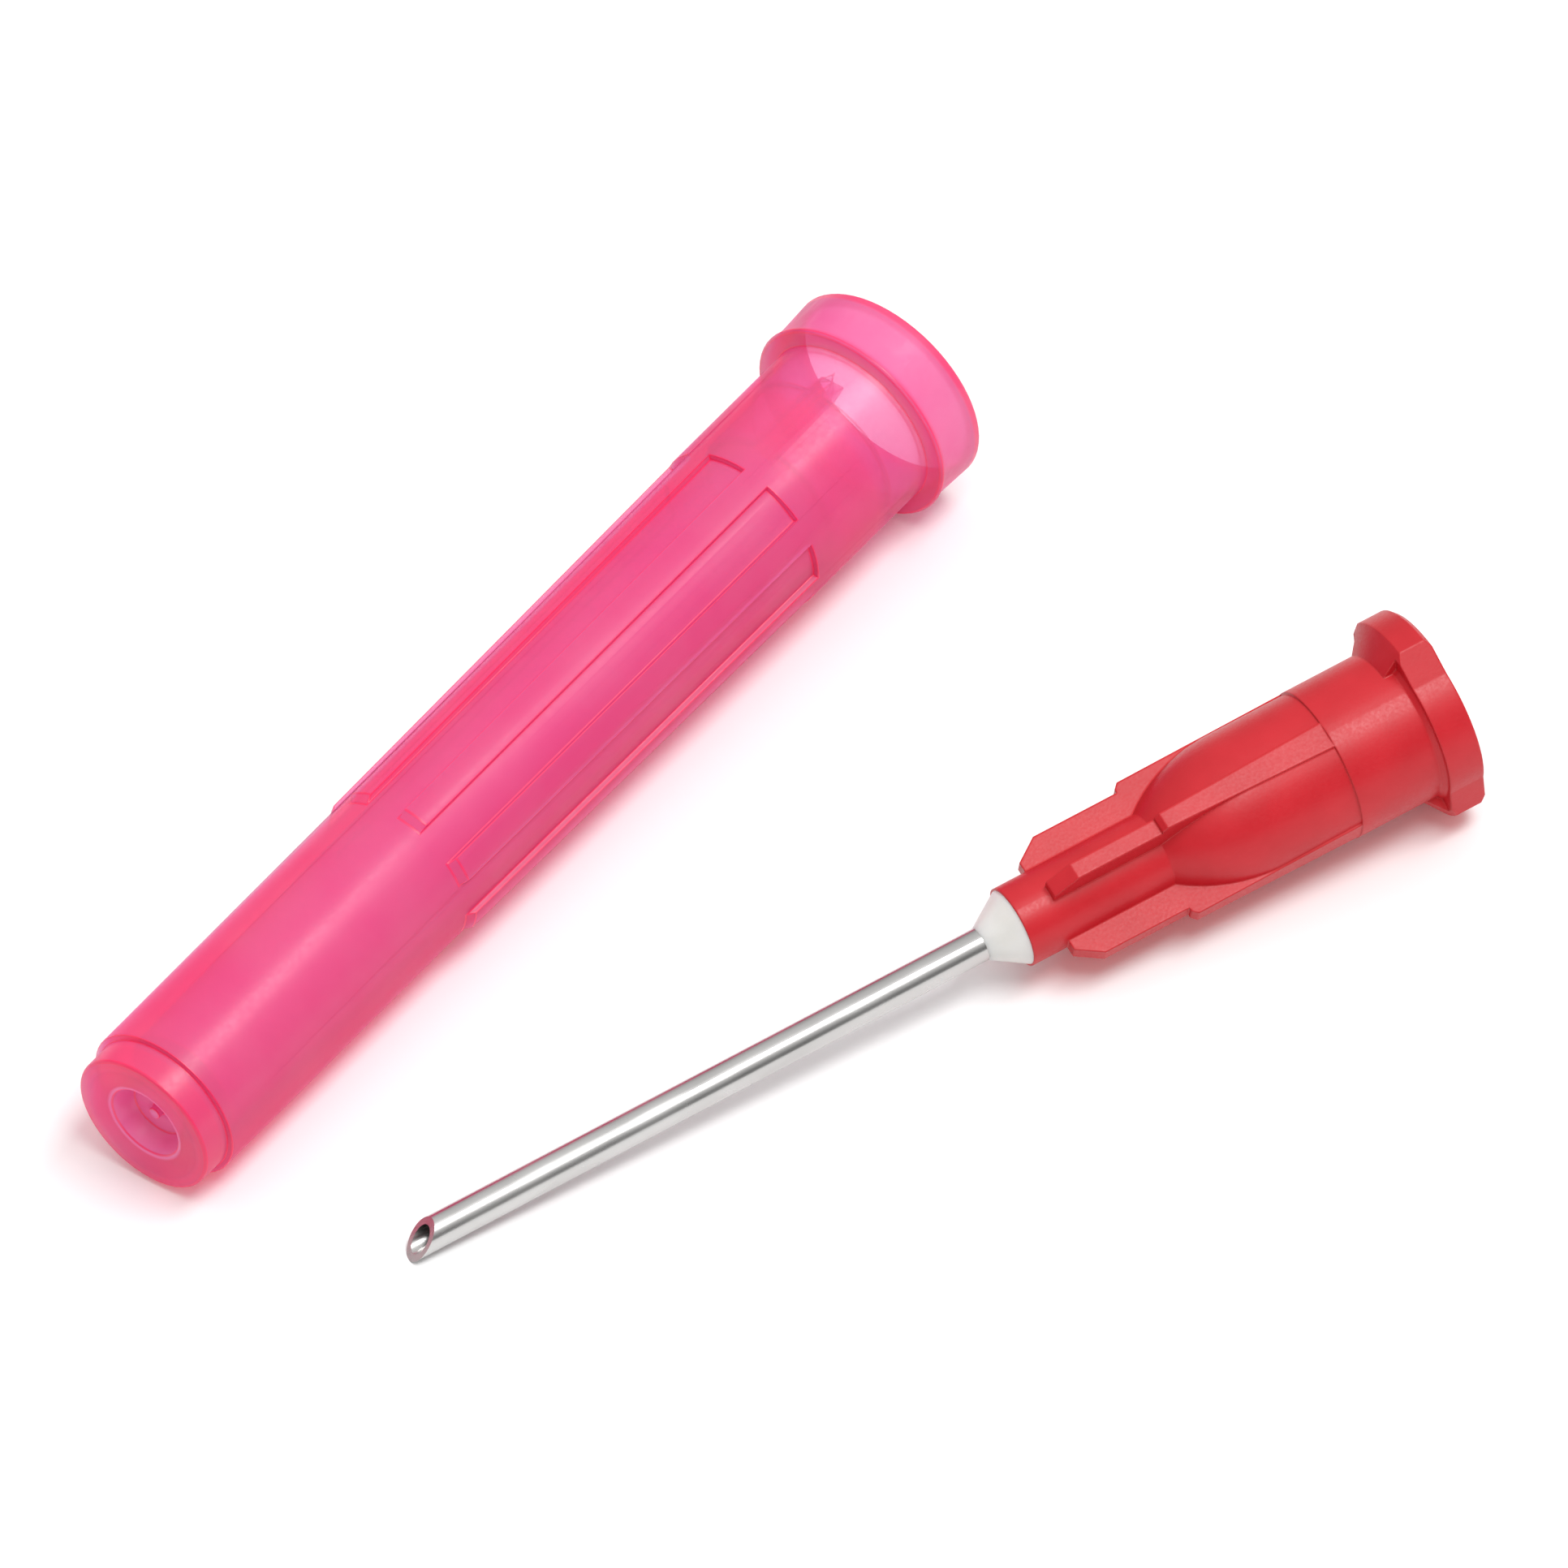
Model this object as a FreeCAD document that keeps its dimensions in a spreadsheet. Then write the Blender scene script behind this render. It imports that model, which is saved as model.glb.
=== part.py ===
import FreeCAD, Part
import math
import os
import re
import Sketcher

# Blunt fill needle, 18 gauge by one inch, with its shield taken off and lying beside it.
# The needle's own frame has X along its axis: 0 is the very end of the steel tube, the hub is at +X.
# The shield's own frame has X along its axis too: 0 is the closed end, the open mouth is at +X.

doc = FreeCAD.newDocument("BluntFillNeedle")

# Driving dimensions in millimetres and degrees
sheet = doc.addObject("Spreadsheet::Sheet", "Dims")
DIMENSIONS = [
    # Steel tube: gauge 18, its bore, how far it reaches out of the hub and how deep it is bedded
    ("steel_radius", 0.635),
    ("steel_bore", 0.42),
    ("steel_reach", 25.4),
    ("steel_bedded", 8.0),
    ("bevel_angle", 45.0),
    ("bevel_roll_angle", -32.1),
    # Bead of adhesive: its cone in front of the hub and its plug in the hub's well
    ("glue_cone", 1.35),
    ("glue_rim", 1.48),
    ("well_mouth", 1.16),
    ("well_foot", 0.9),
    ("well_depth", 1.8),
    # Hub: lengths from its front end to the back face
    ("hub_length", 17.9),
    ("nose_start", 5.93),
    ("nose_length", 3.8),
    ("step_from_back", 4.9),
    ("flange_thick", 1.4),
    ("flange_slope", 0.18),
    # Hub: radii
    ("tube_radius", 1.56),
    ("nose_radius", 2.87),
    ("barrel_radius", 2.957),
    ("flange_radius", 3.317),
    ("hub_bore_clearance", 0.015),
    # Lock lugs: two on the flange, half way between the fins, with straight flanks down to the flange
    ("lug_radius", 3.91),
    ("lug_foot", 1.95),
    ("lug_slope_length", 0.75),
    ("lug_slope_start", 2.97),
    ("lug_crown_angle", 54.0),
    ("lug_flank_angle", 96.0),
    ("lug_bevel", 0.18),
    # Fins: four, each with a low front half and a tall rear half that grows thicker towards the barrel
    ("fin_thick", 0.65),
    ("fin_rear_thick", 1.06),
    ("fin_front", 1.42),
    ("fin_front_radius", 1.93),
    ("fin_nose", 0.95),
    ("fin_low_radius", 2.565),
    ("fin_step", 5.9),
    ("fin_step_bevel", 0.2),
    ("fin_tall_radius", 2.905),
    # Socket for a six per cent conical fitting
    ("socket_mouth", 2.1575),
    ("socket_depth", 8.0),
    ("socket_taper", 0.03),
    ("socket_bevel", 0.14),
    ("funnel_length", 1.5),
    # Shield: whole length, and lengths from the closed end
    ("cap_length", 44.1),
    ("cap_plug", 1.215),
    ("rib_start", 14.8),
    ("rib_run_in", 0.35),
    # Shield: lengths back from the open mouth
    ("collar_length", 2.4),
    ("ledge_inset", 4.2),
    ("step_inset", 7.2),
    ("rib_inset", 8.9),
    ("guide_inset", 3.1),
    # Shield: outer radii
    ("cap_plug_radius", 2.905),
    ("cap_plug_bevel", 0.07),
    ("cap_tube_radius", 3.15),
    ("cap_channel_radius", 3.3),
    ("rib_front_radius", 3.37),
    ("sleeve_radius", 3.55),
    ("collar_bead", 4.26),
    ("collar_bead_length", 0.42),
    ("collar_bead_bevel", 0.1),
    ("collar_neck", 4.14),
    ("collar_rim", 4.22),
    # Shield: ribs and the grooves between them
    ("rib_count", 8),
    ("rib_angle", 18.0),
    # Shield: bore
    ("cap_floor", 2.3),
    ("cap_bore_floor", 2.28),
    ("cap_bore_step", 2.72),
    ("cap_bore_fins", 3.04),
    ("cap_bore_ledge", 3.25),
    ("cap_mouth_foot", 3.68),
    ("cap_mouth_rim", 3.86),
    ("mouth_slope", 0.75),
    # Shield: splines that keep the hub's fins from turning
    ("spline_count", 12),
    ("guide_count", 4),
    ("spline_thick", 0.42),
    ("guide_thick", 0.56),
    ("spline_inner", 2.84),
    ("spline_first_angle", -15.0),
    ("guide_point", 0.62),
    ("spline_bite", 0.1),
    # Shield: shallow dish, cup and gate stub in the closed end
    ("dish_rim", 2.2),
    ("dish_depth", 0.13),
    ("cup_mouth", 1.5),
    ("cup_floor", 1.12),
    ("cup_depth", 0.95),
    ("gate_radius", 0.24),
    ("gate_height", 0.3),
    # Lie of the two pieces on the surface
    ("needle_roll_angle", 23.4),
    ("cap_roll_angle", 17.2),
    ("needle_turn_angle", -22.4),
    ("needle_along", 2.27),
    ("needle_across", -9.99),
]
for row, (alias, number) in enumerate(DIMENSIONS, start=1):
    sheet.set("A%d" % row, alias)
    sheet.set("B%d" % row, str(number))
    sheet.setAlias("B%d" % row, alias)
doc.recompute()


def size(name):
    """Value of one cell of the sheet."""
    return float(sheet.get(name))


def worked_out(text):
    """Value of an expression over the sheet, for a first position of a sketched point."""
    return float(sheet.evalExpression(text))


def bound(text):
    """The same expression as other objects refer to it: every name of the sheet has an underscore."""
    return re.sub(r"\b([a-z]+_[a-z_]+)\b", r"Dims.\1", text)


def origin_plane(body, role):
    """Origin plane of a body, by its role."""
    for feature in body.Origin.OriginFeatures:
        if feature.Role == role:
            return feature
    raise ValueError("no plane " + role)


def new_body(name):
    """Empty body whose label is the name of the piece."""
    body = doc.addObject("PartDesign::Body", name)
    body.Label = name
    return body


def new_sketch(body, name, role="XZ_Plane", turn=0.0, lift=0.0):
    """Sketch on an origin plane, turned about the piece's own axis and then lifted off it."""
    sketch = body.newObject("Sketcher::SketchObject", name)
    sketch.AttachmentSupport = [(origin_plane(body, role), "")]
    sketch.MapMode = "FlatFace"
    rotation = FreeCAD.Rotation(FreeCAD.Vector(1, 0, 0), turn)
    away = rotation.multVec(FreeCAD.Vector(0, 0, lift))
    sketch.AttachmentOffset = FreeCAD.Placement(away, rotation)
    return sketch


def cross_sketch(body, name, along, turn):
    """Sketch square to the piece's own axis, at a place along it and turned about it."""
    sketch = body.newObject("Sketcher::SketchObject", name)
    sketch.AttachmentSupport = [(origin_plane(body, "YZ_Plane"), "")]
    sketch.MapMode = "FlatFace"
    rotation = FreeCAD.Rotation(FreeCAD.Vector(0, 0, 1), turn)
    sketch.AttachmentOffset = FreeCAD.Placement(FreeCAD.Vector(0, 0, worked_out(along)), rotation)
    sketch.setExpression("AttachmentOffset.Base.z", bound(along))
    return sketch


def hold_point(sketch, geometry, end, along, across):
    """Ties one sketched point to the sheet in both directions."""
    for kind, axis, text in (("DistanceX", -2, along), ("DistanceY", -1, across)):
        if text == "0":
            sketch.addConstraint(Sketcher.Constraint("PointOnObject", geometry, end, axis))
        else:
            number = sketch.addConstraint(Sketcher.Constraint(kind, geometry, end, worked_out(text)))
            sketch.setExpression("Constraints[%d]" % number, bound(text))


def arc_between(start, end, radius):
    """Arc with a signed radius: it bulges to the left of its own way where the radius is positive."""
    chord = end - start
    reach = abs(radius)
    rise = reach - math.sqrt(reach ** 2 - chord.Length ** 2 / 4)
    left = FreeCAD.Vector(-chord.y, chord.x, 0).normalize()
    crown = (start + end) * 0.5 + left * math.copysign(rise, radius)
    return Part.Arc(start, crown, end)


def draw_outline(sketch, corners):
    """Closed outline through corners given as pairs of expressions.

    A third expression in a corner is the signed radius of the arc that leads to the next corner.
    """
    points = [FreeCAD.Vector(worked_out(corner[0]), worked_out(corner[1]), 0) for corner in corners]
    count = len(points)
    first = sketch.GeometryCount
    ends = []
    for index, corner in enumerate(corners):
        start = points[index]
        end = points[(index + 1) % count]
        if len(corner) == 2:
            sketch.addGeometry(Part.LineSegment(start, end))
            ends.append((1, 2))
        else:
            radius = worked_out(corner[2])
            sketch.addGeometry(arc_between(start, end, radius))
            ends.append((1, 2) if radius < 0 else (2, 1))
    for index in range(count):
        following = (index + 1) % count
        here = ends[index][1]
        there = ends[following][0]
        sketch.addConstraint(Sketcher.Constraint("Coincident", first + index, here, first + following, there))
    for index, corner in enumerate(corners):
        hold_point(sketch, first + index, ends[index][0], corner[0], corner[1])
        if len(corner) == 3:
            radius = worked_out(corner[2])
            number = sketch.addConstraint(Sketcher.Constraint("Radius", first + index, abs(radius)))
            sketch.setExpression("Constraints[%d]" % number, bound("abs(%s)" % corner[2]))


def turned(body, kind, name, sketch, angle="360", both_ways=False):
    """Revolution or groove about the piece's axis."""
    feature = body.newObject("PartDesign::" + kind, name)
    feature.Profile = sketch
    feature.ReferenceAxis = (sketch, ["H_Axis"])
    feature.Angle = worked_out(angle)
    if angle != "360":
        feature.setExpression("Angle", bound(angle))
    feature.Midplane = both_ways
    sketch.Visibility = False
    doc.recompute()
    return feature


def padded(body, kind, name, sketch, depth, both_ways=True):
    """Pad or pocket of a sketch."""
    feature = body.newObject("PartDesign::" + kind, name)
    feature.Profile = sketch
    feature.Length = worked_out(depth)
    feature.setExpression("Length", bound(depth))
    feature.Midplane = both_ways
    sketch.Visibility = False
    doc.recompute()
    return feature


def repeated(body, name, features, sketch, count):
    """Copies of one or more features all the way round the piece's axis."""
    pattern = body.newObject("PartDesign::PolarPattern", name)
    pattern.Originals = features
    pattern.Axis = (sketch, ["H_Axis"])
    pattern.Angle = 360
    pattern.Occurrences = int(size(count)) if isinstance(count, str) else count
    if isinstance(count, str):
        pattern.setExpression("Occurrences", bound(count))
    body.Tip = pattern
    doc.recompute()
    return pattern


# The steel tube: a drawn tube cut off at a slant, with the opening on its upper side
def make_cannula():
    body = new_body("cannula")
    wall = new_sketch(body, "TubeWall")
    draw_outline(wall, [
        ("0", "steel_bore"),
        ("steel_reach + steel_bedded", "steel_bore"),
        ("steel_reach + steel_bedded", "steel_radius"),
        ("0", "steel_radius"),
    ])
    turned(body, "Revolution", "Tube", wall)
    slant = new_sketch(body, "SlantCut", turn=size("bevel_roll_angle"))
    draw_outline(slant, [
        ("0", "0 - steel_radius"),
        ("2 * steel_radius / tan(bevel_angle)", "steel_radius"),
        ("3 * steel_radius / tan(bevel_angle)", "2 * steel_radius"),
        ("0 - steel_radius", "2 * steel_radius"),
        ("0 - steel_radius", "0 - steel_radius"),
    ])
    padded(body, "Pocket", "TipSlant", slant, "4 * steel_radius")
    return body


# The adhesive: a bead that fills the hub's well round the tube and runs down it as a white cone
def make_adhesive():
    body = new_body("adhesive")
    bead = new_sketch(body, "BeadProfile")
    draw_outline(bead, [
        ("steel_reach - glue_cone", "steel_radius"),
        ("steel_reach", "glue_rim"),
        ("steel_reach", "well_mouth"),
        ("steel_reach + well_depth", "well_foot"),
        ("steel_reach + well_depth", "steel_radius"),
    ])
    turned(body, "Revolution", "Bead", bead)
    return body


# The hub: front tube, bullet nose, barrel with a step ring, flange with two lock lugs, four stepped fins
def make_hub():
    body = new_body("hub")
    back = "(steel_reach + hub_length)"
    step = "(steel_reach + hub_length - step_from_back)"
    nose_rise = "(nose_radius - tube_radius)"
    nose_arc = "((nose_length ^ 2 + %s ^ 2) / (2 * %s))" % (nose_rise, nose_rise)
    fin = new_sketch(body, "FinProfile")
    draw_outline(fin, [
        ("steel_reach + fin_front", "0"),
        ("steel_reach + fin_front", "fin_front_radius"),
        ("steel_reach + fin_front + fin_nose", "fin_low_radius"),
        ("steel_reach + fin_step", "fin_low_radius"),
        ("steel_reach + fin_step", "fin_tall_radius - fin_step_bevel"),
        ("steel_reach + fin_step + fin_step_bevel", "fin_tall_radius"),
        (step, "fin_tall_radius"),
        (step, "0"),
    ])
    one_fin = padded(body, "Pad", "Fin", fin, "fin_rear_thick")
    thinned = new_sketch(body, "FinSides", "XY_Plane", lift=size("fin_tall_radius"))
    for side in ("1", "-1"):
        draw_outline(thinned, [
            ("steel_reach", side + " * fin_thick / 2"),
            ("steel_reach + fin_step", side + " * fin_thick / 2"),
            (step, side + " * fin_rear_thick / 2"),
            (step, side + " * fin_rear_thick"),
            ("steel_reach", side + " * fin_rear_thick"),
        ])
    thin_fin = padded(body, "Pocket", "FinThinning", thinned, "fin_tall_radius - tube_radius / 2", both_ways=False)
    repeated(body, "Fins", [one_fin, thin_fin], fin, 4)

    shell = new_sketch(body, "ShellProfile")
    draw_outline(shell, [
        ("steel_reach", "0"),
        ("steel_reach", "tube_radius"),
        ("steel_reach + nose_start", "tube_radius", nose_arc),
        ("steel_reach + nose_start + nose_length", "nose_radius"),
        (step, "nose_radius"),
        (step, "barrel_radius"),
        (back + " - flange_thick - flange_slope", "barrel_radius"),
        (back + " - flange_thick", "barrel_radius + flange_slope"),
        (back + " - flange_thick", "flange_radius"),
        (back, "flange_radius"),
        (back, "0"),
    ])
    turned(body, "Revolution", "Shell", shell)

    crown = new_sketch(body, "LugCrown", turn=-45.0)
    draw_outline(crown, [
        (back + " - lug_foot", "barrel_radius - lug_bevel"),
        (back + " - lug_foot", "lug_radius"),
        (back, "lug_radius"),
        (back, "barrel_radius - lug_bevel"),
    ])
    one_crown = turned(body, "Revolution", "Crown", crown, angle="lug_crown_angle", both_ways=True)
    flanks = cross_sketch(body, "LugFlanks", back + " - flange_thick", -45.0)
    draw_outline(flanks, [
        ("0", "0"),
        ("flange_radius * sin(lug_flank_angle / 2)", "flange_radius * cos(lug_flank_angle / 2)"),
        ("lug_radius * sin(lug_crown_angle / 2)", "lug_radius * cos(lug_crown_angle / 2)"),
        ("0 - lug_radius * sin(lug_crown_angle / 2)", "lug_radius * cos(lug_crown_angle / 2)"),
        ("0 - flange_radius * sin(lug_flank_angle / 2)", "flange_radius * cos(lug_flank_angle / 2)"),
    ])
    two_flanks = padded(body, "Pad", "Flanks", flanks, "flange_thick", both_ways=False)
    repeated(body, "Lugs", [one_crown, two_flanks], crown, 2)
    slopes = new_sketch(body, "LugSlopes")
    draw_outline(slopes, [
        (back + " - lug_foot", "lug_slope_start"),
        (back + " - lug_foot + lug_slope_length", "lug_radius"),
        (back + " - lug_foot + lug_slope_length", "lug_radius + lug_bevel"),
        (back + " - lug_foot - lug_bevel", "lug_radius + lug_bevel"),
        (back + " - lug_foot - lug_bevel", "lug_slope_start"),
    ])
    draw_outline(slopes, [
        (back + " - lug_bevel", "lug_radius"),
        (back + " - lug_bevel", "lug_radius + lug_bevel"),
        (back + " + lug_bevel", "lug_radius + lug_bevel"),
        (back + " + lug_bevel", "lug_radius - lug_bevel"),
        (back, "lug_radius - lug_bevel"),
    ])
    turned(body, "Groove", "LugFaces", slopes)

    passage = new_sketch(body, "PassageProfile")
    bore = "steel_radius + hub_bore_clearance"
    draw_outline(passage, [
        ("steel_reach", "0"),
        ("steel_reach", "well_mouth"),
        ("steel_reach + well_depth", "well_foot"),
        ("steel_reach + well_depth", bore),
        (back + " - socket_depth - funnel_length", bore),
        (back + " - socket_depth", "socket_mouth - socket_taper * socket_depth"),
        (back + " - socket_bevel", "socket_mouth - socket_taper * socket_bevel"),
        (back, "socket_mouth + socket_bevel"),
        (back, "0"),
    ])
    turned(body, "Groove", "Passage", passage)
    return body


# The shield: one thin moulding with a plugged end, a ribbed tapering tube and a flared collar at its mouth
def make_needle_cap():
    body = new_body("needle_cap")
    rib_end = "(cap_length - rib_inset)"
    step = "(cap_length - step_inset)"
    ledge = "(cap_length - ledge_inset)"
    shoulder = "(cap_length - collar_length)"
    root = "cap_tube_radius - rib_run_in"
    wall = new_sketch(body, "WallProfile")
    draw_outline(wall, [
        ("0", "0"),
        ("0", "cap_plug_radius - cap_plug_bevel"),
        ("cap_plug_bevel", "cap_plug_radius"),
        ("cap_plug", "cap_plug_radius"),
        ("cap_plug", "cap_tube_radius"),
        ("rib_start", "cap_tube_radius"),
        (rib_end, "cap_channel_radius"),
        (rib_end, "sleeve_radius"),
        (shoulder, "sleeve_radius"),
        (shoulder, "collar_bead - collar_bead_bevel"),
        (shoulder + " + collar_bead_bevel", "collar_bead"),
        (shoulder + " + collar_bead_length", "collar_neck"),
        ("cap_length - collar_bead_bevel", "collar_rim"),
        ("cap_length", "collar_rim - collar_bead_bevel"),
        ("cap_length", "0"),
    ])
    turned(body, "Revolution", "Wall", wall)

    rib = new_sketch(body, "RibProfile")
    draw_outline(rib, [
        ("rib_start", root),
        ("rib_start", "cap_tube_radius"),
        ("rib_start + rib_run_in", "rib_front_radius"),
        (rib_end, "sleeve_radius"),
        (rib_end, root),
    ])
    one_rib = turned(body, "Revolution", "Rib", rib, angle="rib_angle", both_ways=True)
    repeated(body, "Ribs", [one_rib], rib, "rib_count")

    bore = new_sketch(body, "BoreProfile")
    draw_outline(bore, [
        ("cap_floor", "0"),
        ("cap_floor", "cap_bore_floor"),
        (step, "cap_bore_step"),
        (step, "cap_bore_fins"),
        (ledge, "cap_bore_fins"),
        (ledge, "cap_bore_ledge"),
        (shoulder, "cap_bore_ledge"),
        (shoulder + " + mouth_slope", "cap_mouth_foot"),
        ("cap_length", "cap_mouth_rim"),
        ("cap_length", "0"),
    ])
    turned(body, "Groove", "Bore", bore)

    cup = new_sketch(body, "CupProfile")
    draw_outline(cup, [
        ("0", "0"),
        ("0", "dish_rim"),
        ("dish_depth", "cup_mouth"),
        ("cup_depth", "cup_floor"),
        ("cup_depth", "0"),
    ])
    turned(body, "Groove", "Cup", cup)

    stub = new_sketch(body, "StubProfile")
    draw_outline(stub, [
        ("cup_depth - gate_height", "0"),
        ("cup_depth - gate_height", "gate_radius"),
        ("cup_depth + gate_height", "gate_radius"),
        ("cup_depth + gate_height", "0"),
    ])
    turned(body, "Revolution", "GateStub", stub)

    short = new_sketch(body, "SplineOutline", "XY_Plane", size("spline_first_angle"), size("spline_inner"))
    draw_outline(short, [
        (step, "0 - spline_thick / 2"),
        (ledge, "0 - spline_thick / 2"),
        (ledge, "spline_thick / 2"),
        (step, "spline_thick / 2"),
    ])
    reach_out = "cap_bore_fins - spline_inner + spline_bite"
    one_short = padded(body, "Pad", "Spline", short, reach_out, both_ways=False)
    repeated(body, "Splines", [one_short], short, "spline_count")

    guide = new_sketch(body, "GuideOutline", "XY_Plane", size("spline_first_angle"), size("spline_inner"))
    draw_outline(guide, [
        (step, "0 - guide_thick / 2"),
        ("cap_length - guide_inset - guide_point", "0 - guide_thick / 2"),
        ("cap_length - guide_inset", "0"),
        ("cap_length - guide_inset - guide_point", "guide_thick / 2"),
        (step, "guide_thick / 2"),
    ])
    reach_out = "cap_bore_ledge - spline_inner + spline_bite"
    one_guide = padded(body, "Pad", "Guide", guide, reach_out, both_ways=False)
    repeated(body, "Guides", [one_guide], guide, "guide_count")
    return body


needle_pieces = [make_hub(), make_cannula(), make_adhesive()]
cap = make_needle_cap()

# The needle lies on a lock lug and on the end of its tube, the shield on its collar and on its closed end
lug_contact = size("steel_reach") + size("hub_length") - size("lug_foot") + size("lug_slope_length")
needle_tilt = math.atan2(size("lug_radius") - size("steel_radius"), lug_contact)
bead_contact = size("cap_length") - size("collar_length") + size("collar_bead_bevel")
cap_tilt = math.atan2(size("collar_bead") - size("cap_tube_radius"), bead_contact - size("cap_plug"))
needle_height = size("steel_radius") * math.cos(needle_tilt)
cap_height = size("cap_tube_radius") * math.cos(cap_tilt) - size("cap_plug") * math.sin(cap_tilt)
needle_way = FreeCAD.Rotation(size("needle_turn_angle"), -math.degrees(needle_tilt), size("needle_roll_angle"))
cap_way = FreeCAD.Rotation(0, -math.degrees(cap_tilt), size("cap_roll_angle"))
needle_spot = FreeCAD.Vector(size("needle_along"), size("needle_across"), needle_height)
cap_spot = FreeCAD.Vector(0, 0, cap_height)
for piece in needle_pieces:
    piece.Placement = FreeCAD.Placement(needle_spot, needle_way)
cap.Placement = FreeCAD.Placement(cap_spot, cap_way)
doc.recompute()

# The origin is on the surface, under the middle of both pieces
pieces = needle_pieces + [cap]
reach = FreeCAD.BoundBox()
for piece in pieces:
    reach.add(piece.Shape.optimalBoundingBox(False, False))
middle = FreeCAD.Vector(reach.Center.x, reach.Center.y, 0)
for piece in pieces:
    piece.Placement = FreeCAD.Placement(piece.Placement.Base - middle, piece.Placement.Rotation)
doc.recompute()

for item in doc.Objects:
    if "Invalid" in item.State or "Error" in item.State:
        raise RuntimeError("failed: " + item.Name)
for piece in pieces:
    if piece.Shape.isNull() or not piece.Shape.isValid():
        raise RuntimeError("bad shape: " + piece.Label)
    if len(piece.Shape.Solids) != 1:
        raise RuntimeError("not one solid: " + piece.Label)

os.makedirs("parts", exist_ok=True)
for piece in pieces:
    piece.Shape.exportStep("parts/%s.step" % piece.Label)
    print(piece.Label, "volume", round(piece.Shape.Volume, 3), "faces", len(piece.Shape.Faces))
    print("  placed at", piece.Placement.Base, "turned", piece.Placement.Rotation.getYawPitchRoll())
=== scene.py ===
import math

import bpy
from mathutils import Euler, Matrix, Vector


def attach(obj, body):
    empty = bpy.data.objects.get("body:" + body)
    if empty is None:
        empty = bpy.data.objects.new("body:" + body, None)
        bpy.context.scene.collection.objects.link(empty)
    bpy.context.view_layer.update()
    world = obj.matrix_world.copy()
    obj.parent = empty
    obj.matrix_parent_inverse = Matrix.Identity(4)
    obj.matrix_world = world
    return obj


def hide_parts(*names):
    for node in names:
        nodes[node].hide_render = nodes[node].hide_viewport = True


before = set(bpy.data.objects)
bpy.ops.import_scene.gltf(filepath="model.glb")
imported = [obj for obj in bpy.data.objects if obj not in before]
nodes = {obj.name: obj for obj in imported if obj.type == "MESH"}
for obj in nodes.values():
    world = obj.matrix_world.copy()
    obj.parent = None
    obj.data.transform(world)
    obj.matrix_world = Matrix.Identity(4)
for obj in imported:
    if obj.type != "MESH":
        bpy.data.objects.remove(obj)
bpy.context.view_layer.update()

# The photographer's view: a long lens from 45 degrees above, looking past the shield's closed end, with the
# camera tilted a little to its right, so that both pieces run up the picture from the lower left.
VIEW_AZIMUTH = math.radians(221.85)
VIEW_HEIGHT = math.radians(45.03)
VIEW_TILT = math.radians(-5.744)
VIEW_DISTANCE = 0.97586
VIEW_TARGET = Vector((0.0067205, 0.006054, 0.0))
VIEW_NEAREST = 0.01
VIEW_FARTHEST = 50.0
FOCAL_PIXELS = 33056.9
PICTURE_PIXELS = 1932
SENSOR_WIDTH = 36.0

toward_camera = Vector((
    math.cos(VIEW_HEIGHT) * math.cos(VIEW_AZIMUTH),
    math.cos(VIEW_HEIGHT) * math.sin(VIEW_AZIMUTH),
    math.sin(VIEW_HEIGHT),
))
bpy.ops.object.camera_add(location=VIEW_TARGET + toward_camera * VIEW_DISTANCE)
camera = bpy.context.object
camera.name = "camera"
camera.data.sensor_fit = "HORIZONTAL"
camera.data.sensor_width = SENSOR_WIDTH
camera.data.lens = SENSOR_WIDTH * FOCAL_PIXELS / PICTURE_PIXELS
camera.data.clip_start = VIEW_NEAREST
camera.data.clip_end = VIEW_FARTHEST
level_view = toward_camera.to_track_quat("Z", "Y").to_matrix()
camera.rotation_euler = (level_view @ Matrix.Rotation(VIEW_TILT, 3, "Z")).to_euler()
bpy.context.scene.camera = camera

# The tabletop of the product shot: a sheet of matt white paper that shows only the soft shadows of the two
# pieces. It glows just enough in the picture and in reflections to lose its own edge.
PAPER_SIDE = 3.0
PAPER_WHITE = (0.93, 0.93, 0.93, 1.0)
PAPER_ROUGHNESS = 0.9
PAPER_GLOW = 0.05


def new_material(name):
    """Material with an empty Principled surface; gives the material, its nodes' tree and that surface."""
    material = bpy.data.materials.new(name)
    material.use_nodes = True
    return material, material.node_tree, material.node_tree.nodes["Principled BSDF"]


def blended(tree, how, one, other):
    """Sum, product or larger one of two values."""
    node = tree.nodes.new("ShaderNodeMath")
    node.operation = how
    tree.links.new(one, node.inputs[0])
    tree.links.new(other, node.inputs[1])
    return node.outputs[0]


bpy.ops.object.select_all(action="DESELECT")
bpy.ops.mesh.primitive_plane_add(size=PAPER_SIDE, location=(0.0, 0.0, 0.0))
floor = bpy.context.object
floor.name = "floor"
paper, tree, surface = new_material("white_paper")
surface.inputs["Base Color"].default_value = PAPER_WHITE
surface.inputs["Roughness"].default_value = PAPER_ROUGHNESS
surface.inputs["Specular IOR Level"].default_value = 0.0
path = tree.nodes.new("ShaderNodeLightPath")
seen = blended(tree, "MAXIMUM", path.outputs["Is Camera Ray"], path.outputs["Is Glossy Ray"])
seen = blended(tree, "MAXIMUM", seen, path.outputs["Is Transmission Ray"])
glow = tree.nodes.new("ShaderNodeEmission")
glow.inputs["Strength"].default_value = PAPER_GLOW
no_glow = tree.nodes.new("ShaderNodeEmission")
no_glow.inputs["Strength"].default_value = 0.0
chosen = tree.nodes.new("ShaderNodeMixShader")
tree.links.new(seen, chosen.inputs["Fac"])
tree.links.new(no_glow.outputs[0], chosen.inputs[1])
tree.links.new(glow.outputs[0], chosen.inputs[2])
both = tree.nodes.new("ShaderNodeAddShader")
tree.links.new(surface.outputs[0], both.inputs[0])
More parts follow.
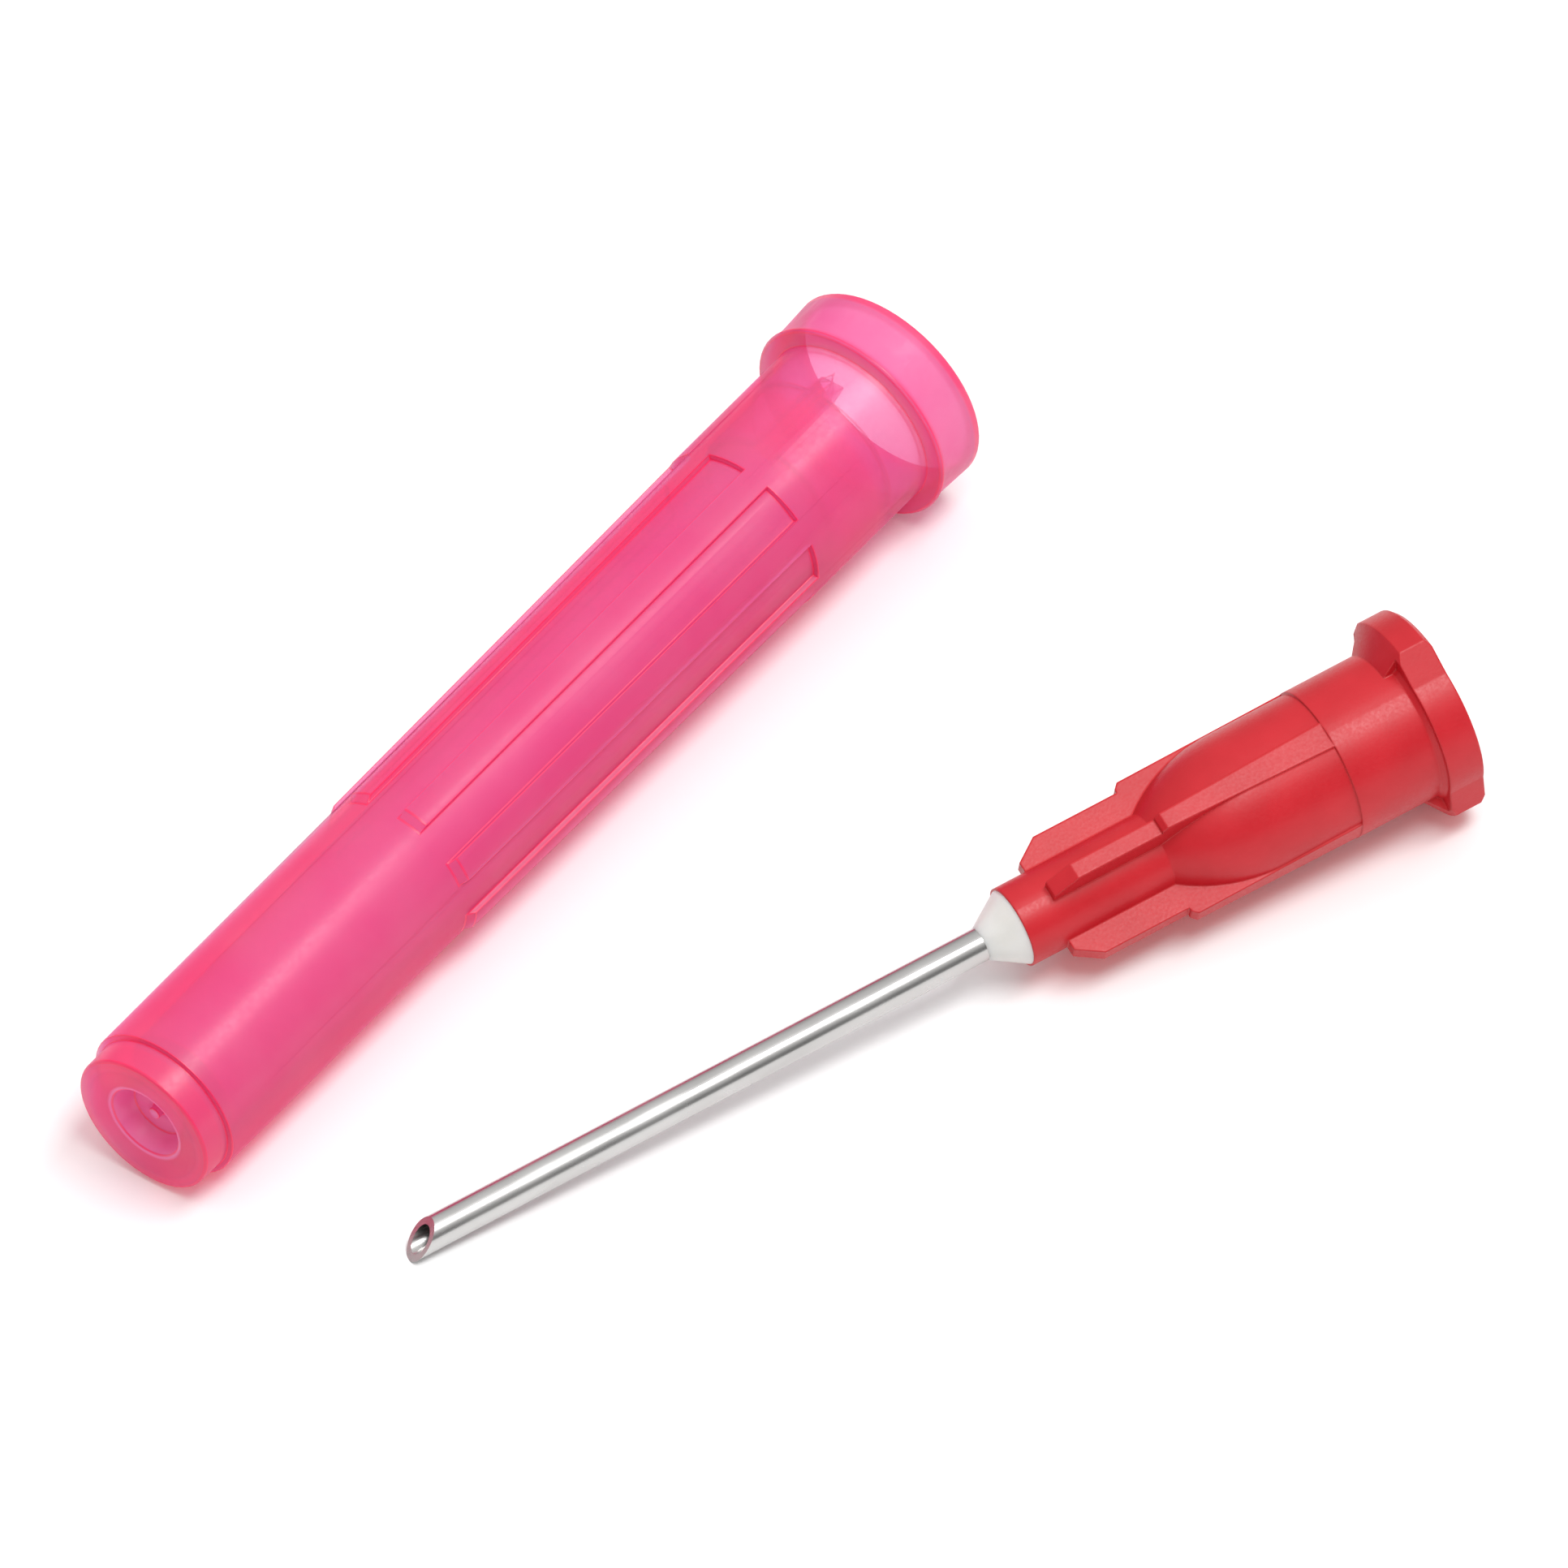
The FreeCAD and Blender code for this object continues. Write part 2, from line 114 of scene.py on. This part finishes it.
tree.links.new(chosen.outputs[0], both.inputs[1])
tree.links.new(both.outputs[0], tree.nodes["Material Output"].inputs["Surface"])
floor.data.materials.append(paper)

# The studio round it: a white tent overhead, a band of dimmer room near the horizon, darkest behind the
# camera, and one soft box above the pieces that draws the bright streak along the tubes.
TENT_HEIGHTS = (0.0, 0.06, 0.30, 0.62, 0.86)
TENT_FAR_GREYS = (0.9, 0.5, 0.5, 0.8, 1.0)
TENT_NEAR_GREYS = (0.6, 0.22, 0.24, 0.75, 1.0)
TENT_FAR_SIDE = -0.5
TENT_NEAR_SIDE = 0.4
TENT_STRENGTH = 0.85
BOX_WAY = Vector((0.045, -0.364, 0.932))
BOX_DISTANCE = 0.7
BOX_LONG = 0.5
BOX_WIDE = 0.22
BOX_WATTS = 3.2


def tent_wall(tree, height, greys):
    """Grey of one side of the tent by the height of the direction looked in."""
    ramp = tree.nodes.new("ShaderNodeValToRGB")
    while len(ramp.color_ramp.elements) < len(TENT_HEIGHTS):
        ramp.color_ramp.elements.new(0.5)
    for element, place, grey in zip(ramp.color_ramp.elements, TENT_HEIGHTS, greys):
        element.position = place
        element.color = (grey, grey, grey, 1.0)
    tree.links.new(height, ramp.inputs["Fac"])
    return ramp.outputs["Color"]


world = bpy.data.worlds.new("studio")
bpy.context.scene.world = world
world.use_nodes = True
tree = world.node_tree
way = tree.nodes.new("ShaderNodeTexCoord")
way_parts = tree.nodes.new("ShaderNodeSeparateXYZ")
tree.links.new(way.outputs["Generated"], way_parts.inputs[0])
nearness = tree.nodes.new("ShaderNodeVectorMath")
nearness.operation = "DOT_PRODUCT"
nearness.inputs[1].default_value = (math.cos(VIEW_AZIMUTH), math.sin(VIEW_AZIMUTH), 0.0)
tree.links.new(way.outputs["Generated"], nearness.inputs[0])
side = tree.nodes.new("ShaderNodeMapRange")
side.inputs["From Min"].default_value = TENT_FAR_SIDE
side.inputs["From Max"].default_value = TENT_NEAR_SIDE
tree.links.new(nearness.outputs["Value"], side.inputs["Value"])
tent = tree.nodes.new("ShaderNodeMix")
tent.data_type = "RGBA"
tree.links.new(side.outputs["Result"], tent.inputs["Factor"])
tree.links.new(tent_wall(tree, way_parts.outputs["Z"], TENT_FAR_GREYS), tent.inputs["A"])
tree.links.new(tent_wall(tree, way_parts.outputs["Z"], TENT_NEAR_GREYS), tent.inputs["B"])
tree.links.new(tent.outputs["Result"], tree.nodes["Background"].inputs["Color"])
tree.nodes["Background"].inputs["Strength"].default_value = TENT_STRENGTH

bpy.ops.object.light_add(type="AREA", location=BOX_WAY.normalized() * BOX_DISTANCE)
soft_box = bpy.context.object
soft_box.name = "soft_box"
soft_box.data.shape = "RECTANGLE"
soft_box.data.size = BOX_LONG
soft_box.data.size_y = BOX_WIDE
soft_box.data.energy = BOX_WATTS
soft_box.rotation_euler = BOX_WAY.to_track_quat("Z", "Y").to_euler()

# The needle's steel tube: 18 gauge hypodermic tube, drawn through a die, so that fine marks run along it, and
# ground off at a slant. It is bedded in the hub with adhesive, and handling has left faint smears on it.
NEEDLE_TIP = Vector((-0.0197893, 0.0026345, 0.0006331))
NEEDLE_TURN = Euler((math.radians(23.4), math.radians(-4.4481), math.radians(-22.4)), "XYZ")
STEEL_DARK = (0.55, 0.54, 0.53, 1.0)
STEEL_LIGHT = (0.64, 0.63, 0.62, 1.0)
STEEL_POLISHED = 0.22
STEEL_SMEARED = 0.31
DRAWN_MARKS_A_METRE = 16000.0
DRAWN_MARKS_STRETCH = (0.012, 1.0, 1.0)
DRAWN_MARKS_DEPTH = 0.000004
DRAWN_MARKS_STRENGTH = 0.25
SMEARS_A_METRE = 900.0
SMEARS_STRETCH = (0.35, 1.0, 1.0)


def along_a_piece(tree, start, turn):
    """Place on a piece that lies turned, in metres, with X along it from its start."""
    place = tree.nodes.new("ShaderNodeTexCoord")
    turned_back = turn.to_matrix().transposed()
    lengthwise = tree.nodes.new("ShaderNodeMapping")
    lengthwise.inputs["Location"].default_value = -(turned_back @ start)
    lengthwise.inputs["Rotation"].default_value = turned_back.to_euler("XYZ")
    tree.links.new(place.outputs["Object"], lengthwise.inputs["Vector"])
    return lengthwise.outputs["Vector"]


def scaled_noise(tree, place, scale, stretch=(1.0, 1.0, 1.0), detail=4.0):
    """Noise over a place, as so many grains a metre, drawn out by a stretch."""
    drawn = tree.nodes.new("ShaderNodeMapping")
    drawn.inputs["Scale"].default_value = tuple(scale * part for part in stretch)
    tree.links.new(place, drawn.inputs["Vector"])
    noise = tree.nodes.new("ShaderNodeTexNoise")
    noise.inputs["Scale"].default_value = 1.0
    noise.inputs["Detail"].default_value = detail
    tree.links.new(drawn.outputs["Vector"], noise.inputs["Vector"])
    return noise.outputs["Fac"]


def between(tree, value, lowest, highest, start=0.3, end=0.7):
    """A value that goes from the lowest to the highest as another goes from start to end."""
    spread = tree.nodes.new("ShaderNodeMapRange")
    spread.inputs["From Min"].default_value = start
    spread.inputs["From Max"].default_value = end
    spread.inputs["To Min"].default_value = lowest
    spread.inputs["To Max"].default_value = highest
    tree.links.new(value, spread.inputs["Value"])
    return spread.outputs["Result"]


def two_tones(tree, value, one, other):
    """Colour that goes from one tone to another with a value; the first tone may also be a socket."""
    mixed = tree.nodes.new("ShaderNodeMix")
    mixed.data_type = "RGBA"
    if isinstance(one, bpy.types.NodeSocket):
        tree.links.new(one, mixed.inputs["A"])
    else:
        mixed.inputs["A"].default_value = one
    mixed.inputs["B"].default_value = other
    tree.links.new(value, mixed.inputs["Factor"])
    return mixed.outputs["Result"]


def bumped(tree, surface, height, strength, distance):
    """Fine relief on a surface, from a height; gives its node."""
    relief = tree.nodes.new("ShaderNodeBump")
    relief.inputs["Strength"].default_value = strength
    relief.inputs["Distance"].default_value = distance
    tree.links.new(height, relief.inputs["Height"])
    tree.links.new(relief.outputs["Normal"], surface.inputs["Normal"])
    return relief


steel, tree, surface = new_material("drawn_steel")
place = along_a_piece(tree, NEEDLE_TIP, NEEDLE_TURN)
marks = scaled_noise(tree, place, DRAWN_MARKS_A_METRE, stretch=DRAWN_MARKS_STRETCH, detail=3.0)
smears = scaled_noise(tree, place, SMEARS_A_METRE, stretch=SMEARS_STRETCH)
steel_tone = two_tones(tree, between(tree, smears, 0.0, 1.0), STEEL_DARK, STEEL_LIGHT)
tree.links.new(steel_tone, surface.inputs["Base Color"])
surface.inputs["Metallic"].default_value = 1.0
tree.links.new(between(tree, smears, STEEL_POLISHED, STEEL_SMEARED), surface.inputs["Roughness"])
bumped(tree, surface, marks, DRAWN_MARKS_STRENGTH, DRAWN_MARKS_DEPTH)
for slot in nodes["cannula"].material_slots:
    slot.material = steel

# The adhesive that holds the tube: a clear-white epoxy, dispensed into the hub's well, that wets both parts
# and cures to a glossy cone, a little cloudy and uneven.
EPOXY_GREY = (0.74, 0.725, 0.69, 1.0)
EPOXY_WHITE = (0.82, 0.81, 0.785, 1.0)
EPOXY_GLOSSY = 0.28
EPOXY_DULL = 0.4
EPOXY_CLOUDS_A_METRE = 700.0
EPOXY_CLOUDINESS = 0.35
EPOXY_LIGHT_REACH = 0.0004
EPOXY_LIGHT_SPREAD = (1.0, 0.9, 0.75)
EPOXY_WAVES_STRENGTH = 0.3
EPOXY_WAVES_DEPTH = 0.00004

epoxy, tree, surface = new_material("cured_epoxy")
place = along_a_piece(tree, NEEDLE_TIP, NEEDLE_TURN)
clouds = scaled_noise(tree, place, EPOXY_CLOUDS_A_METRE)
epoxy_tone = two_tones(tree, between(tree, clouds, 0.0, 1.0), EPOXY_GREY, EPOXY_WHITE)
tree.links.new(epoxy_tone, surface.inputs["Base Color"])
tree.links.new(between(tree, clouds, EPOXY_GLOSSY, EPOXY_DULL), surface.inputs["Roughness"])
surface.inputs["Subsurface Weight"].default_value = EPOXY_CLOUDINESS
surface.inputs["Subsurface Radius"].default_value = EPOXY_LIGHT_SPREAD
surface.inputs["Subsurface Scale"].default_value = EPOXY_LIGHT_REACH
bumped(tree, surface, clouds, EPOXY_WAVES_STRENGTH, EPOXY_WAVES_DEPTH)
for slot in nodes["adhesive"].material_slots:
    slot.material = epoxy

# The hub: red polypropylene, moulded in a spark-eroded tool, so that its faces have a fine grain and its
# edges are a little round. Some red light gets through its walls into the shadow under it.
HUB_RED = (0.60, 0.014, 0.024, 1.0)
HUB_DEEP_RED = (0.53, 0.009, 0.017, 1.0)
# A lighter red painted on the hub's edges: painted light, standing in for light that shines through the thin
# plastic there.
HUB_LIT_EDGE_RED = (0.72, 0.03, 0.035, 1.0)
HUB_LIT_EDGE_SHARE = 0.6
HUB_LET_THROUGH = (0.42, 0.03, 0.04, 1.0)
HUB_GLOSSY = 0.34
HUB_DULL = 0.46
HUB_GRAINS_A_METRE = 9000.0
HUB_WAVES_A_METRE = 500.0
HUB_GRAIN_STRENGTH = 0.3
HUB_GRAIN_DEPTH = 0.00001
HUB_EDGE_RADIUS = 0.00011
POLYPROPYLENE_IOR = 1.45


def moulded_skin():
    """Group for a moulded face: its grain and slow waves as heights, its rounded normal and its edges."""
    group = bpy.data.node_groups.new("moulded_skin", "ShaderNodeTree")
    group.interface.new_socket("Place", in_out="INPUT", socket_type="NodeSocketVector")
    for name in ("Grain Scale", "Waves Scale", "Edge Radius"):
        group.interface.new_socket(name, in_out="INPUT", socket_type="NodeSocketFloat")
    for name in ("Grain", "Waves", "Edge"):
        group.interface.new_socket(name, in_out="OUTPUT", socket_type="NodeSocketFloat")
    group.interface.new_socket("Normal", in_out="OUTPUT", socket_type="NodeSocketVector")
    start = group.nodes.new("NodeGroupInput")
    end = group.nodes.new("NodeGroupOutput")
    for name, detail in (("Grain", 2.0), ("Waves", 3.0)):
        noise = group.nodes.new("ShaderNodeTexNoise")
        noise.inputs["Detail"].default_value = detail
        group.links.new(start.outputs["Place"], noise.inputs["Vector"])
        group.links.new(start.outputs[name + " Scale"], noise.inputs["Scale"])
        group.links.new(noise.outputs["Fac"], end.inputs[name])
    rounded = group.nodes.new("ShaderNodeBevel")
    rounded.samples = 8
    group.links.new(start.outputs["Edge Radius"], rounded.inputs["Radius"])
    group.links.new(rounded.outputs["Normal"], end.inputs["Normal"])
    face = group.nodes.new("ShaderNodeNewGeometry")
    likeness = group.nodes.new("ShaderNodeVectorMath")
    likeness.operation = "DOT_PRODUCT"
    group.links.new(rounded.outputs["Normal"], likeness.inputs[0])
    group.links.new(face.outputs["Normal"], likeness.inputs[1])
    near_edge = between(group, likeness.outputs["Value"], 0.0, 1.0, start=0.985, end=0.86)
    group.links.new(near_edge, end.inputs["Edge"])
    return group


skin_group = moulded_skin()
hub_plastic, tree, surface = new_material("red_polypropylene")
skin = tree.nodes.new("ShaderNodeGroup")
skin.node_tree = skin_group
skin.inputs["Grain Scale"].default_value = HUB_GRAINS_A_METRE
skin.inputs["Waves Scale"].default_value = HUB_WAVES_A_METRE
skin.inputs["Edge Radius"].default_value = HUB_EDGE_RADIUS
tree.links.new(along_a_piece(tree, NEEDLE_TIP, NEEDLE_TURN), skin.inputs["Place"])
body_tone = two_tones(tree, between(tree, skin.outputs["Waves"], 0.0, 1.0), HUB_DEEP_RED, HUB_RED)
# Painted light: the edges get the lighter red, for light shining through their thin plastic.
lit_edge_share = between(tree, skin.outputs["Edge"], 0.0, HUB_LIT_EDGE_SHARE, start=0.0, end=1.0)
tree.links.new(two_tones(tree, lit_edge_share, body_tone, HUB_LIT_EDGE_RED), surface.inputs["Base Color"])
tree.links.new(between(tree, skin.outputs["Grain"], HUB_GLOSSY, HUB_DULL), surface.inputs["Roughness"])
surface.inputs["IOR"].default_value = POLYPROPYLENE_IOR
grain = bumped(tree, surface, skin.outputs["Grain"], HUB_GRAIN_STRENGTH, HUB_GRAIN_DEPTH)
tree.links.new(skin.outputs["Normal"], grain.inputs["Normal"])
let_through = tree.nodes.new("ShaderNodeBsdfTransparent")
let_through.inputs["Color"].default_value = HUB_LET_THROUGH
path = tree.nodes.new("ShaderNodeLightPath")
shade = tree.nodes.new("ShaderNodeMixShader")
tree.links.new(path.outputs["Is Shadow Ray"], shade.inputs["Fac"])
tree.links.new(surface.outputs[0], shade.inputs[1])
tree.links.new(let_through.outputs[0], shade.inputs[2])
tree.links.new(shade.outputs[0], tree.nodes["Material Output"].inputs["Surface"])
for slot in nodes["hub"].material_slots:
    slot.material = hub_plastic

# The shield: thin translucent pink polypropylene, moulded over a long core. Light passes both walls, comes
# out deeper where it has a longer way through them, and gathers in their edges, which the mould left round.
# Besides the absorption, a deeper pink is painted on the edges and on bands of thick plastic, as painted
# light.
SHIELD_END = Vector((-0.0220593, 0.0126245, 0.0031156))
SHIELD_TURN = Euler((math.radians(17.2), math.radians(-1.5666), 0.0), "XYZ")
PLUG_LENGTH = 0.0009
PLUG_RIM = 0.0025
CUP_RIM = 0.0017
SLEEVE_START = 0.0355
SLEEVE_END = 0.0388
COLLAR_START = 0.0417
SHOULDER_LENGTH = 0.0004
MOUTH_RIM = 0.04365
SHIELD_JOIN = 0.0000002
SHIELD_FLAT = math.radians(1.0)
SHIELD_EDGE = math.radians(28.0)
SHIELD_CREASE = math.radians(35.0)
SHIELD_ROUNDING = 0.0001
SHIELD_PINK = (0.92, 0.215, 0.50, 1.0)
SHIELD_DEEP_PINK = (0.91, 0.145, 0.44, 1.0)
# Deeper pink painted on the edges and thick bands: painted light, for the longer way light takes through them.
SHIELD_PAINTED_DEPTH_PINK = (0.95, 0.045, 0.18, 1.0)
SHIELD_DEPTH_PINK = (1.0, 0.0, 0.54, 1.0)
SHIELD_DEPTH = 1600.0
SHIELD_MILKINESS = 0.40
COLLAR_MILKINESS = 0.16
EDGE_MILKINESS = 0.30
CUP_MILKINESS = 0.40
SHIELD_GLOSSY = 0.28
SHIELD_DULL = 0.38
SHIELD_GRAINS_A_METRE = 5000.0
SHIELD_WAVES_A_METRE = 250.0
SHIELD_WAVES_STRENGTH = 0.15
SHIELD_WAVES_DEPTH = 0.00002


def rising_share_from(tree, along, share, start, length):
    """Share that rises over a short length of the shield from its start."""
    return between(tree, along, 0.0, share, start=start, end=start + length)


def falling_share_until(tree, along, end, length):
    """Whole share that falls to nothing over a short length of the shield from its end."""
    return between(tree, along, 1.0, 0.0, start=end, end=end + length)


shield_plastic, tree, surface = new_material("pink_polypropylene")
place = along_a_piece(tree, SHIELD_END, SHIELD_TURN)
skin = tree.nodes.new("ShaderNodeGroup")
skin.node_tree = skin_group
skin.inputs["Grain Scale"].default_value = SHIELD_GRAINS_A_METRE
skin.inputs["Waves Scale"].default_value = SHIELD_WAVES_A_METRE
tree.links.new(place, skin.inputs["Place"])
place_parts = tree.nodes.new("ShaderNodeSeparateXYZ")
tree.links.new(place, place_parts.inputs[0])
along = place_parts.outputs["X"]
across = tree.nodes.new("ShaderNodeVectorMath")
across.operation = "MULTIPLY"
across.inputs[1].default_value = (0.0, 1.0, 1.0)
tree.links.new(place, across.inputs[0])
distance = tree.nodes.new("ShaderNodeVectorMath")
distance.operation = "LENGTH"
tree.links.new(across.outputs["Vector"], distance.inputs[0])
from_axis = distance.outputs["Value"]

# Painted deeper pink, standing in for light's longer way through thick plastic: bands on the plug's outside,
# the sleeve, the shoulder, the collar and the mouth's rim, and the rounded edges that the edge attribute
# marks.
in_plug = falling_share_until(tree, along, PLUG_LENGTH, 0.0003)
outside = between(tree, from_axis, 0.0, 0.6, start=PLUG_RIM - 0.0001, end=PLUG_RIM + 0.0001)
plug_painted_depth = blended(tree, "MULTIPLY", in_plug, outside)
sleeve_painted_depth = blended(tree, "MULTIPLY", rising_share_from(tree, along, 0.45, SLEEVE_START, 0.0015),
                      falling_share_until(tree, along, SLEEVE_END, 0.0006))
shoulder_painted_depth = blended(tree, "MULTIPLY", rising_share_from(tree, along, 0.85, COLLAR_START - 0.0003, 0.0003),
                        falling_share_until(tree, along, COLLAR_START + SHOULDER_LENGTH / 2, SHOULDER_LENGTH / 2))
shoulder_painted_depth = blended(tree, "MULTIPLY", shoulder_painted_depth, outside)
on_collar = rising_share_from(tree, along, 1.0, COLLAR_START, 0.0003)
collar_painted_depth = between(tree, on_collar, 0.0, 0.15, start=0.0, end=1.0)
mouth_painted_depth = rising_share_from(tree, along, 0.9, MOUTH_RIM, 0.00015)
edge = tree.nodes.new("ShaderNodeAttribute")
edge.attribute_name = "edge"
painted_depth = edge.outputs["Fac"]
for band in (plug_painted_depth, sleeve_painted_depth, shoulder_painted_depth, collar_painted_depth, mouth_painted_depth):
    painted_depth = blended(tree, "MAXIMUM", painted_depth, band)
waved_pink = two_tones(tree, between(tree, skin.outputs["Waves"], 0.0, 1.0), SHIELD_DEEP_PINK, SHIELD_PINK)
tree.links.new(two_tones(tree, painted_depth, waved_pink, SHIELD_PAINTED_DEPTH_PINK), surface.inputs["Base Color"])

# The plastic scatters a share of the light at its faces, more of it where the deeper pink is painted, on the
# collar and in the cup, and lets the rest through, to be absorbed on its way.
milkiness = between(tree, on_collar, SHIELD_MILKINESS, SHIELD_MILKINESS + COLLAR_MILKINESS, start=0.0, end=1.0)
milkier_edge = between(tree, painted_depth, 0.0, EDGE_MILKINESS, start=0.0, end=1.0)
milkier_cup = between(tree, from_axis, CUP_MILKINESS, 0.0, start=CUP_RIM - 0.0001, end=CUP_RIM)
milkiness = blended(tree, "ADD", milkiness, milkier_edge)
milkiness = blended(tree, "ADD", milkiness, blended(tree, "MULTIPLY", in_plug, milkier_cup))
tree.links.new(milkiness, surface.inputs["Alpha"])
depth = tree.nodes.new("ShaderNodeVolumeAbsorption")
depth.inputs["Color"].default_value = SHIELD_DEPTH_PINK
depth.inputs["Density"].default_value = SHIELD_DEPTH
tree.links.new(depth.outputs[0], tree.nodes["Material Output"].inputs["Volume"])
tree.links.new(between(tree, skin.outputs["Grain"], SHIELD_GLOSSY, SHIELD_DULL), surface.inputs["Roughness"])
surface.inputs["IOR"].default_value = 1.49
surface.inputs["Specular IOR Level"].default_value = 0.7
bumped(tree, surface, skin.outputs["Waves"], SHIELD_WAVES_STRENGTH, SHIELD_WAVES_DEPTH)

# Its mesh is the CAD solid's own, joined up, with its flat faces made whole and its edges rounded. The second
# slot only marks the faces that the rounding adds, so that the material finds the edges by an attribute.
bpy.ops.object.select_all(action="DESELECT")
shield = bpy.data.objects.new("shield", nodes["needle_cap"].data.copy())
bpy.context.collection.objects.link(shield)
shield.data.materials.clear()
shield.data.materials.append(shield_plastic)
shield.data.materials.append(shield_plastic)
shield.select_set(True)
bpy.context.view_layer.objects.active = shield
bpy.ops.mesh.customdata_custom_splitnormals_clear()
bpy.ops.object.mode_set(mode="EDIT")
bpy.ops.mesh.select_all(action="SELECT")
bpy.ops.mesh.remove_doubles(threshold=SHIELD_JOIN)
bpy.ops.mesh.mark_sharp(clear=True)
bpy.ops.mesh.dissolve_limited(angle_limit=SHIELD_FLAT)
bpy.ops.object.mode_set(mode="OBJECT")
rounding = shield.modifiers.new("rounding", "BEVEL")
rounding.width = SHIELD_ROUNDING
rounding.segments = 2
rounding.limit_method = "ANGLE"
rounding.angle_limit = SHIELD_EDGE
rounding.material = 1
bpy.ops.object.modifier_apply(modifier=rounding.name)
bpy.ops.object.shade_smooth_by_angle(angle=SHIELD_CREASE)
edge_mask = shield.data.attributes.new("edge", "FLOAT", "FACE")
for face in shield.data.polygons:
    edge_mask.data[face.index].value = face.material_index
    face.material_index = 0
shield.data.materials.pop(index=1)
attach(shield, "root")
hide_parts("needle_cap")

bpy.context.scene.view_settings.view_transform = "Standard"
